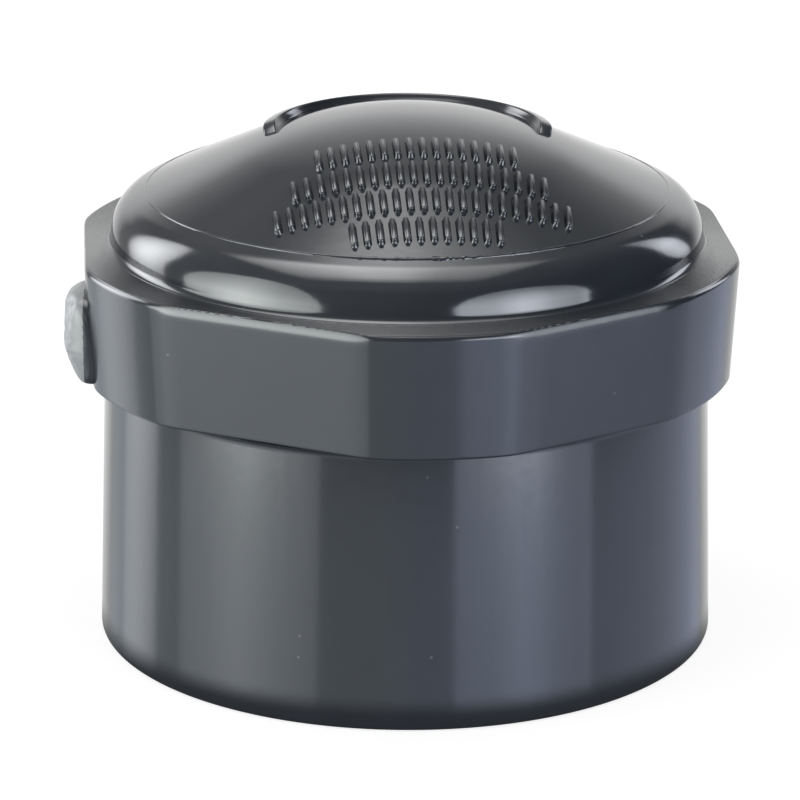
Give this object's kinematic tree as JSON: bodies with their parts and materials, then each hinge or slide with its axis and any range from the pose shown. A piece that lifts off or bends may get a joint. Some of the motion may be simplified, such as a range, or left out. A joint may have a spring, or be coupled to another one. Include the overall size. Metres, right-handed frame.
{
  "type": "threaded pipe cap",
  "caption": "Moulded grey plastic pipe cap with an internal pipe thread, a six-sided wrench collar with soft corners and a domed closed end.",
  "frame": {"origin": "on the cap's axis, in the plane of the open rim", "axes": "+Z along the axis from the open rim to the domed end; -Y is the front in the picture, and the gate stub stands on the side that looks to -X"},
  "size_m": [0.0556, 0.056, 0.0444],
  "materials": {
    "grey_plastic": "dark cool grey rigid vinyl, satin on the skirt and the collar, glossier on the dome's shoulder"
  },
  "bodies": {
    "root": {"cap": "grey_plastic"}
  },
  "joints": []
}
